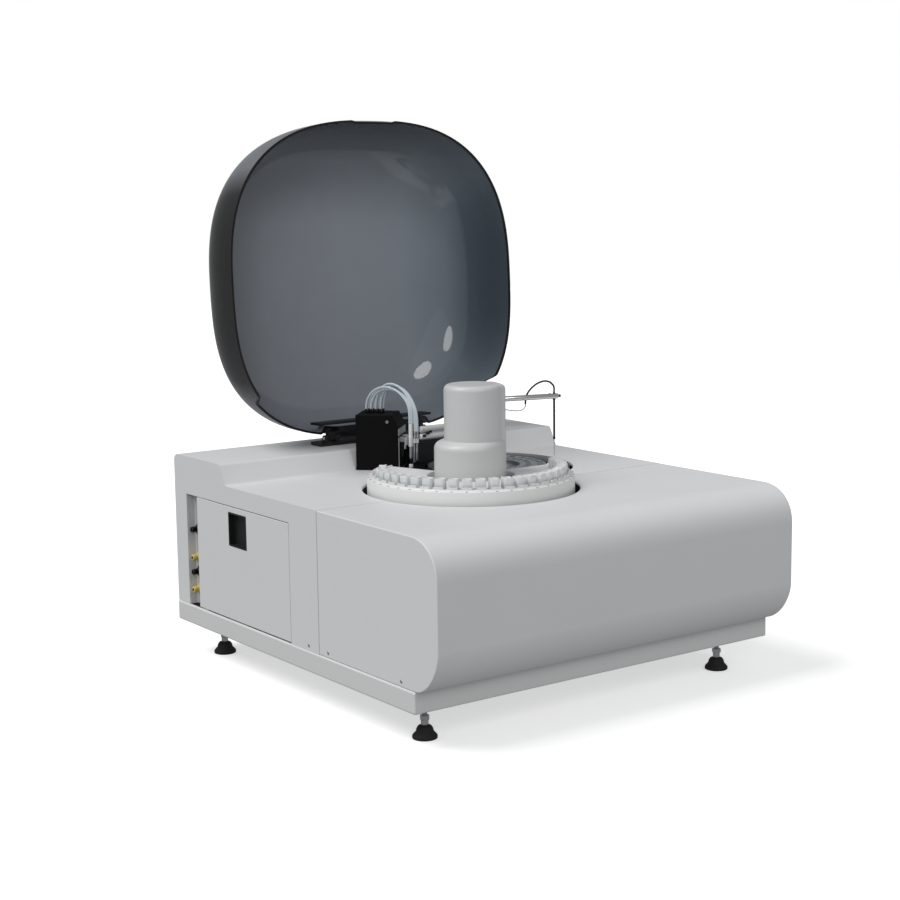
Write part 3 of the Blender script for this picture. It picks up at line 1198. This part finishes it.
def cuvette(reach, width):
    """A thin square cuvette mouth standing in its pocket, with a hollow."""
    outside = width / 2 - CUVETTE_GAP
    inside = outside - CUVETTE_WALL
    rows = [(outside, CUVETTE_FOOT), (outside, CUVETTE_LIP), (inside, CUVETTE_LIP), (inside, CUVETTE_FLOOR)]
    square = np.array([(1, 1), (-1, 1), (-1, -1), (1, -1)], float)
    grid = np.array([np.column_stack([square * half + [reach, 0], np.full(4, RING_TOP + level)])
                     for half, level in rows])
    return capped(grid)


put("turned_bowl_disc", lathe(rounded(BOWL, 4), ROTOR, 120), bowl_blue, "rotor", ["rotor_disc"])
rotor_ring = put("machined_cuvette_ring", lathe(rounded(RING, 3), ROTOR, 180), cast_alloy, "rotor",
                 ["cuvette_ring"])
cut(rotor_ring, *[ring_of(pocket(*row)) for row in POCKET_ROWS])
soften(rotor_ring, 0.5, 2)
put("clear_cuvettes", merged(*[ring_of(cuvette(*row)) for row in POCKET_ROWS]), cuvette_plastic, "rotor")
print("rotor ring faces", len(rotor_ring.data.polygons))

# %% [markdown]
# A fixed black cover lies round the rotor, with a fine groove between them, and a thin flange under it
# goes down into the well. It is cut straight at its rear. The small cup sunk in it, under the wash
# needle, is taken for a rinsing cup.
# %% Ring cover
COVER_INSIDE, COVER_OUTSIDE = 106.0, 141.0
FLANGE_RADII, FLANGE_FOOT = (124.5, 127.0), 252.0
COVER_UNDER, COVER_FACE = DECK - 0.4, DECK + 2.6
RING_COVER = [(COVER_INSIDE, COVER_UNDER), (FLANGE_RADII[0], COVER_UNDER), (FLANGE_RADII[0], FLANGE_FOOT),
              (FLANGE_RADII[1], FLANGE_FOOT), (FLANGE_RADII[1], COVER_UNDER), (COVER_OUTSIDE, COVER_UNDER),
              (COVER_OUTSIDE, COVER_FACE, 0.9), (COVER_INSIDE, COVER_FACE, 0.9),
              (COVER_INSIDE, COVER_UNDER + 0.1)]
COVER_REAR = REAR_COVER[2] - 0.5
WASH_CUP = (-29.0, 508.0)
CUP_OUTSIDE, CUP_INSIDE = 12.5, 10.5
CUP_UNDER, CUP_FLOOR = -27.0, -25.0
ring_cover = put("black_ring_cover", lathe(rounded(RING_COVER, 3), ROTOR, 180), gloss_black,
                 replaces=["ring_cover"])
cut(ring_cover, block((-HALF, HALF), (COVER_REAR, BODY_DEPTH), (DECK - 8, RIDGE)))
cut(ring_cover, deck_rod(CUP_OUTSIDE, CUP_UNDER, COVER_FACE - DECK, WASH_CUP, 0.5, 48), operation="UNION")
cut(ring_cover, deck_rod(CUP_INSIDE, CUP_FLOOR, 8, WASH_CUP, 0, 48))
soften(ring_cover, 0.6, 2)
print("ring cover faces", len(ring_cover.data.polygons))

# %% [markdown]
# The wash block is a black box with its upper right edge cut off at a slant. Its pieces are made
# square to it and then turned on the deck. A low black cover stands beside it, behind the rotor.
# %% Wash block, rail and rear cover
BLOCK_X, BLOCK_Y = BLOCK_SIZE[0] / 2, BLOCK_SIZE[1] / 2
BLOCK_TOP = DECK + BLOCK_SIZE[2]
SLANT = (9.6, 19.6)
BRACKET_THICK, BRACKET_LEVELS = 1.0, (DECK + 58.5, DECK + 70.5)
RAIL_Y = -BLOCK_Y + 14.0
RAIL_THICK, RAIL_HALF, RAIL_LEVELS = 6.0, 4.0, (DECK + 22, DECK + 57.5)
STRIP_LEVELS = (DECK + 1.0, DECK + 56.0)
SCREW_PLACE = (18.0, -BLOCK_Y, BLOCK_TOP - 11.2)


def on_block(form):
    """From the wash block's own axes to the body."""
    return placed(form, BLOCK_HEADING, BLOCK_CENTRE)


block_face = [(-BLOCK_X, DECK + SEAT), (BLOCK_X, DECK + SEAT), (BLOCK_X, BLOCK_TOP - SLANT[1]),
              (BLOCK_X - SLANT[0], BLOCK_TOP), (-BLOCK_X, BLOCK_TOP)]
put("black_wash_block", on_block(drawn(block_face, -BLOCK_Y, BLOCK_Y, "y")), block_black,
    replaces=["wash_block"], edge=1.0)
diamond = lathe([(1.3, -0.3), (3.1, -0.3), (3.1, 0.5), (1.3, 0.5), (1.3, -0.3)], (0, 0), 4)
put("wash_block_screw", on_block(moved(facing(diamond, "-y"), *SCREW_PLACE)), steel)
bracket = block((BLOCK_X + SEAT, BLOCK_X + SEAT + BRACKET_THICK), (-BLOCK_Y + 0.5, BLOCK_Y - 2),
                BRACKET_LEVELS)
put("block_bracket_plate", on_block(bracket), bracket_grey, edge=0.3)
rail = block((BLOCK_X + SEAT, BLOCK_X + SEAT + RAIL_THICK), (RAIL_Y - RAIL_HALF, RAIL_Y + RAIL_HALF),
             RAIL_LEVELS)
put("steel_guide_rail", on_block(rail), gunmetal, replaces=["guide_rail"], edge=0.6)
strip = block((BLOCK_X + 0.5, BLOCK_X + 1.7), (-BLOCK_Y + 1.0, -BLOCK_Y + 2.2), STRIP_LEVELS)
put("block_edge_strip", on_block(strip), bracket_grey)
rear_form = block(REAR_COVER[:2], REAR_COVER[2:], (DECK + SEAT, DECK + REAR_COVER_HEIGHT))
rear_cover = put("black_rear_cover", rear_form, matte_black, replaces=["rear_cover"])
cut(rear_cover, lathe(ring_profile((0, COVER_INSIDE), (DECK - OVERRUN, DECK + OVERRUN)), ROTOR, 120))
soften(rear_cover, 1.5, 3)
print("rear cover faces", len(rear_cover.data.polygons))

# %% [markdown]
# The wash head slides on the rail. It holds one needle in a white holder, with a small valve and a
# steel comb of two thin rods beside it, and a bent plate links them to the carriage on the rail.
# %% Wash head and comb
# The direction on the deck that the photograph shows as level to the right.
PICTURE_RIGHT = np.array([0.81, -0.587])
STEM = [(0, 43), (3.9, 43, 0.5), (3.9, 60, 0.3), (3.4, 60.6, 0.2), (3.4, 81, 0.8), (0, 81)]
BARREL = [(0, 22), (1.6, 22, 0.3), (2.8, 25.5, 0.4), (2.8, 42.9), (0, 42.9)]
CARRIAGE_LEVELS = (DECK + 48, DECK + 57)
CHEEK_Y, CHEEK_HALF = 5.6, 1.2
LINK_HALF, LINK_LEVELS = 4.6, (DECK + 58.0, DECK + 60.4)
# Place beside the needle and lower end over the deck, for each rod of the comb.
COMB = ((5.6, 16.0), (10.2, 19.5))
COMB_TOP, CLIP_TOP = 50.0, 68.0
CLIP_HEADING = -36.0


def beside(across):
    """A place beside the wash needle, so many millimetres to the right as the photograph sees it."""
    return WASH + across * PICTURE_RIGHT


def block_place(x, y):
    """A place on the wash block's own axes, given in the body's."""
    return on_block((np.array([[x, y, 0.0]]), []))[0][0, :2]


cap = deck_rod(3.4, 7, 13, WASH, 0.7, 36)
put("white_needle_holder", merged(lathe(over_deck(STEM), WASH, 40), cap), moulded_white, "wash_lift",
    ["wash_head"])
put("needle_barrel", lathe(over_deck(BARREL), WASH, 40), cast_alloy, "wash_lift")
put("needle_tip", deck_rod(1.0, 13.1, 21.9, WASH, 0.2), gunmetal, "wash_lift")
grip = on_block(block((BLOCK_X + 6.7, BLOCK_X + 10.0), (RAIL_Y - 6.0, RAIL_Y + 6.0), CARRIAGE_LEVELS))
cheeks = [on_block(block((BLOCK_X + 1.0, BLOCK_X + 7.0), (RAIL_Y + y - CHEEK_HALF, RAIL_Y + y + CHEEK_HALF),
                         CARRIAGE_LEVELS)) for y in (-CHEEK_Y, CHEEK_Y)]
to_rail = block_place(BLOCK_X + 9.1, RAIL_Y) - WASH
reach = np.linalg.norm(to_rail)
heading = np.degrees(np.arctan2(to_rail[1], to_rail[0]))
flat = block((0, reach), (-LINK_HALF, LINK_HALF), LINK_LEVELS)
flange = block((reach - 4, reach), (-LINK_HALF, LINK_HALF), (CARRIAGE_LEVELS[0], LINK_LEVELS[0] + 0.2))
link = merged(placed(flat, heading, WASH), placed(flange, heading, WASH))
put("rail_carriage", merged(grip, *cheeks, link), bracket_grey, "wash_lift", edge=0.5,
    segments=2)
valve = merged(deck_rod(3.1, 45.5, 58.2, beside(-7.6), 0.5, 32), deck_rod(1.6, 39.0, 46.0, beside(-9.6), 0.4))
put("small_wash_valve", valve, bracket_grey, "wash_lift")
rods = [deck_rod(1.7, low, COMB_TOP, beside(across), 0.5) for across, low in COMB]
clip = placed(block((3.4, 13.4), (-2.4, 2.4), (DECK + 49, DECK + 56)), CLIP_HEADING, WASH)
pipes = [deck_rod(2.0, 55.6, CLIP_TOP, beside(across), 0.4) for across in (6.8, 11.2)]
put("steel_wash_comb", merged(*rods, clip, *pipes), steel, "wash_lift", ["wash_comb"],
    edge=0.3, segments=2)
print("link reach in mm", round(float(reach), 1))

# %% [markdown]
# A short bridge of two white bars runs from a post on the rear cover to the wash head, with small
# black fittings at that end.
# %% Bridge
BRIDGE_Y = 503.0
BRIDGE_X = (-20.0, 106.0)
POST_X = (92.0, 106.0)
# Radius and height over the deck of each bar.
LOWER_BAR, UPPER_BAR = (5.0, 59.0), (5.7, 71.2)
POST_BACK = 586.0
FITTING_START, FITTING_LENGTH = -18.0, 5.0
# Place along the bar, radius and height over the deck.
FITTINGS = ((0, 2.2, 61), (7, 2.4, 65), (13, 2.0, 67))
lower_bar = rod(LOWER_BAR[0], *BRIDGE_X, (BRIDGE_Y, DECK + LOWER_BAR[1]), "x", 1.2, 36)
upper_bar = rod(UPPER_BAR[0], *BRIDGE_X, (BRIDGE_Y, DECK + UPPER_BAR[1]), "x", 1.6, 40)
post = merged(block(POST_X, (BRIDGE_Y - 4, POST_BACK), (DECK + 54, DECK + 77)),
              block(POST_X, (POST_BACK - 9, POST_BACK), (DECK + REAR_COVER_HEIGHT + SEAT, DECK + 66)))
put("bridge_lower_bar", lower_bar, moulded_white, replaces=["wash_bridge"])
put("bridge_upper_bar", merged(upper_bar, post), cover_white, edge=1.2)
fittings = [rod(radius, FITTING_START + x, FITTING_START + x + FITTING_LENGTH, (BRIDGE_Y - 6.5, DECK + level),
                "x", 0.4, 20) for x, radius, level in FITTINGS]
fittings.append(deck_rod(1.2, 76.0, 96.0, (-18.6, BRIDGE_Y), 0.3))
put("bridge_black_fittings", merged(*fittings), gloss_black)
print("bridge fittings", len(fittings))

# %% [markdown]
# Eight milky silicone tubes leave grommets on the block, arch over and come down on the wash head:
# four on the needle's holder and four on the comb. Each arch is half a turn, which is the shape that a
# soft tube takes between two ends that both point up.
# %% Wash tubes
TUBE_COUNT = 8
TUBE_RADIUS, GROMMET_RADIUS = 1.8, 2.2
TUBE_FOOT = BLOCK_TOP + SEAT
ROW_START, ROW_LENGTH, ROW_OFFSET = -23.5, 28.5, 3.2
FOOT_STRAIGHT, END_STRAIGHT = 8.0, 16.0
SWELL_STEP = 1.6
ARCH = np.radians((20, 45, 70, 95, 120, 145, 165))
# First place beside the needle, step, height over the deck and swell, for the holder and the comb.
GROUPS = ((-1.9, 1.5, 81.6, 40.0), (6.6, 1.6, 68.4, 51.0))


def arch(start, end, swell):
    """Points over a half turn: share w = (1 - cos a) / 2 of the way, lifted by swell times sin a."""
    way = (1 - np.cos(ARCH[:, None])) / 2
    points = np.array(start) * (1 - way) + np.array(end) * way
    points[:, 2] += swell * np.sin(ARCH)
    return points


tubes, grommets = [], []
for k in range(TUBE_COUNT):
    group, spot = divmod(k, TUBE_COUNT // 2)
    first, step, level, swell = GROUPS[group]
    start = block_place(ROW_START + ROW_LENGTH * k / (TUBE_COUNT - 1), ROW_OFFSET if k % 2 else -ROW_OFFSET)
    end = beside(first + step * spot)
    low, end_level = TUBE_FOOT + 1, DECK + level
    over = arch((*start, low + FOOT_STRAIGHT), (*end, end_level + END_STRAIGHT), swell - SWELL_STEP * spot)
    path = [(*start, low), (*start, low + FOOT_STRAIGHT), *over, (*end, end_level + 12), (*end, end_level)]
    tubes.append(along(path, TUBE_RADIUS, 16, 80))
    grommets.append(rod(GROMMET_RADIUS, TUBE_FOOT - SEAT, TUBE_FOOT + 7, start, "z", 0.6, 20))
put("clear_wash_tubes", merged(*tubes), milky, replaces=["wash_tubes"])
put("tube_grommets", merged(*grommets), gloss_black)
print("wash tubes", TUBE_COUNT)

# %% [markdown]
# The side door is a flat panel with a square black pull let into it, and a dark narrow gap frames it.
# It opens on hinge blocks along its lower edge.
# %% Side door and pull
DOOR_THICK = 3.0
PULL = (523.5, 580.0, 214.0, 268.5)
PULL_GAP, PULL_PROUD, PULL_DEPTH = 0.3, 0.6, 12.0
PULL_WALL, PULL_HOLLOW = 2.0, 10.0
HINGE_X = (-HALF + 2, -HALF + 11.4)
HINGE_HALF, HINGE_LEVELS = 13.0, (100.4, 107.2)
HINGE_SHARES = (0.1, 0.5, 0.9)


def pull_block(x, margin):
    """A box over the pull's square, larger by a margin all round."""
    return block(x, (PULL[0] - margin, PULL[1] + margin), (PULL[2] - margin, PULL[3] + margin))


door = put("flat_side_door", block((-HALF, -HALF + DOOR_THICK), DOOR[:2], DOOR[2:]), powder_coat, "door_leaf",
           ["side_door"])
cut(door, pull_block((-HALF - OVERRUN, -HALF + 6), PULL_GAP))
soften(door, 0.9, 3)
pull = put("black_door_pull", pull_block((-HALF - PULL_PROUD, -HALF + PULL_DEPTH), 0), matte_black,
           "door_leaf", ["door_pull"])
cut(pull, pull_block((-HALF - OVERRUN, -HALF + PULL_HOLLOW), -PULL_WALL))
soften(pull, 0.5, 2)
middles = [DOOR[0] + (DOOR[1] - DOOR[0]) * share for share in HINGE_SHARES]
hinges = [block(HINGE_X, (y - HINGE_HALF, y + HINGE_HALF), HINGE_LEVELS) for y in middles]
put("door_hinge_blocks", merged(*hinges), powder_coat, "door_leaf")
print("door hinge blocks", len(hinges))

# %% [markdown]
# Four hose ports stand in the recess behind the door. Every second one is yellow, so that the hoses
# can be told apart, and has a black plug.
# %% Fluid ports
PORT_SEAT = -HALF + 17.0 - SEAT
PORT_Y = 710.0
PORT_LEVELS = (219.5, 172.0, 147.0, 117.0)
# Radius, height and rounding: tail through the panel, collar, nozzle and its bore.
PORT = [(0, -5.3), (6.0, -5.3), (6.0, -0.3), (9.5, -0.3, 0.6), (9.5, 4.0, 0.8), (6.2, 4.2), (6.2, 8, 0.5),
        (5.0, 8.2), (5.0, 17.0, 0.8), (2.6, 17.0, 0.3), (2.6, 9.0), (0, 9.0)]
PLUG = rod(2.5, 8.0, 17.6, (0, 0), "z", 0.3, 24)
for index, level in enumerate(PORT_LEVELS, 1):
    yellow = index % 2 == 0
    port = moved(facing(lathe(rounded(PORT, 3), (0, 0), 40), "-x"), PORT_SEAT, PORT_Y, level)
    finish, slot = (port_yellow, "port_yellow") if yellow else (gloss_black, "black_matte")
    put(f"hose_port_{index}", port, finish, replaces=[f"fluid_port_{index}"])
    if yellow:
        put(f"port_plug_{index}", moved(facing(PLUG, "-x"), PORT_SEAT, PORT_Y, level), gloss_black)
print("fluid ports", len(PORT_LEVELS))

# %% [markdown]
# The back is a flat panel with its mains inlet, rocker switch and fan. Screws hold it along both
# edges, and a guard of four rings and two crossed wires covers the fan.
# %% Rear panel
PANEL_BACK = BODY_DEPTH - SKIN - SEAT
PANEL_SCREWS = [(x, z) for x in (-272.0, -90.0, 90.0, 272.0) for z in (120.0, 284.0)]
GUARD_RINGS = (12, 20, 28, 36)
WIRE_HALF, WIRE_THICK, WIRE_REACH = 0.8, 1.6, 39.0
GUARD_PLACE = (170.0, PANEL_BACK + 0.2, 200.0)
rear_screws = [moved(facing(screw_head(3.0, 1.2), "+y"), x, PANEL_BACK, z) for x, z in PANEL_SCREWS]
put("rear_panel_screws", merged(*rear_screws), zinc)
rings = [lathe(ring_profile((radius - WIRE_HALF, radius + WIRE_HALF), (0, WIRE_THICK)), (0, 0), 64)
         for radius in GUARD_RINGS]
long, short = (-WIRE_REACH, WIRE_REACH), (-WIRE_HALF, WIRE_HALF)
wires = [block(long, short, (0, WIRE_THICK)), block(short, long, (0, WIRE_THICK))]
put("fan_guard", moved(facing(merged(*rings, *wires), "+y"), *GUARD_PLACE), zinc)
print("rear screws", len(rear_screws))
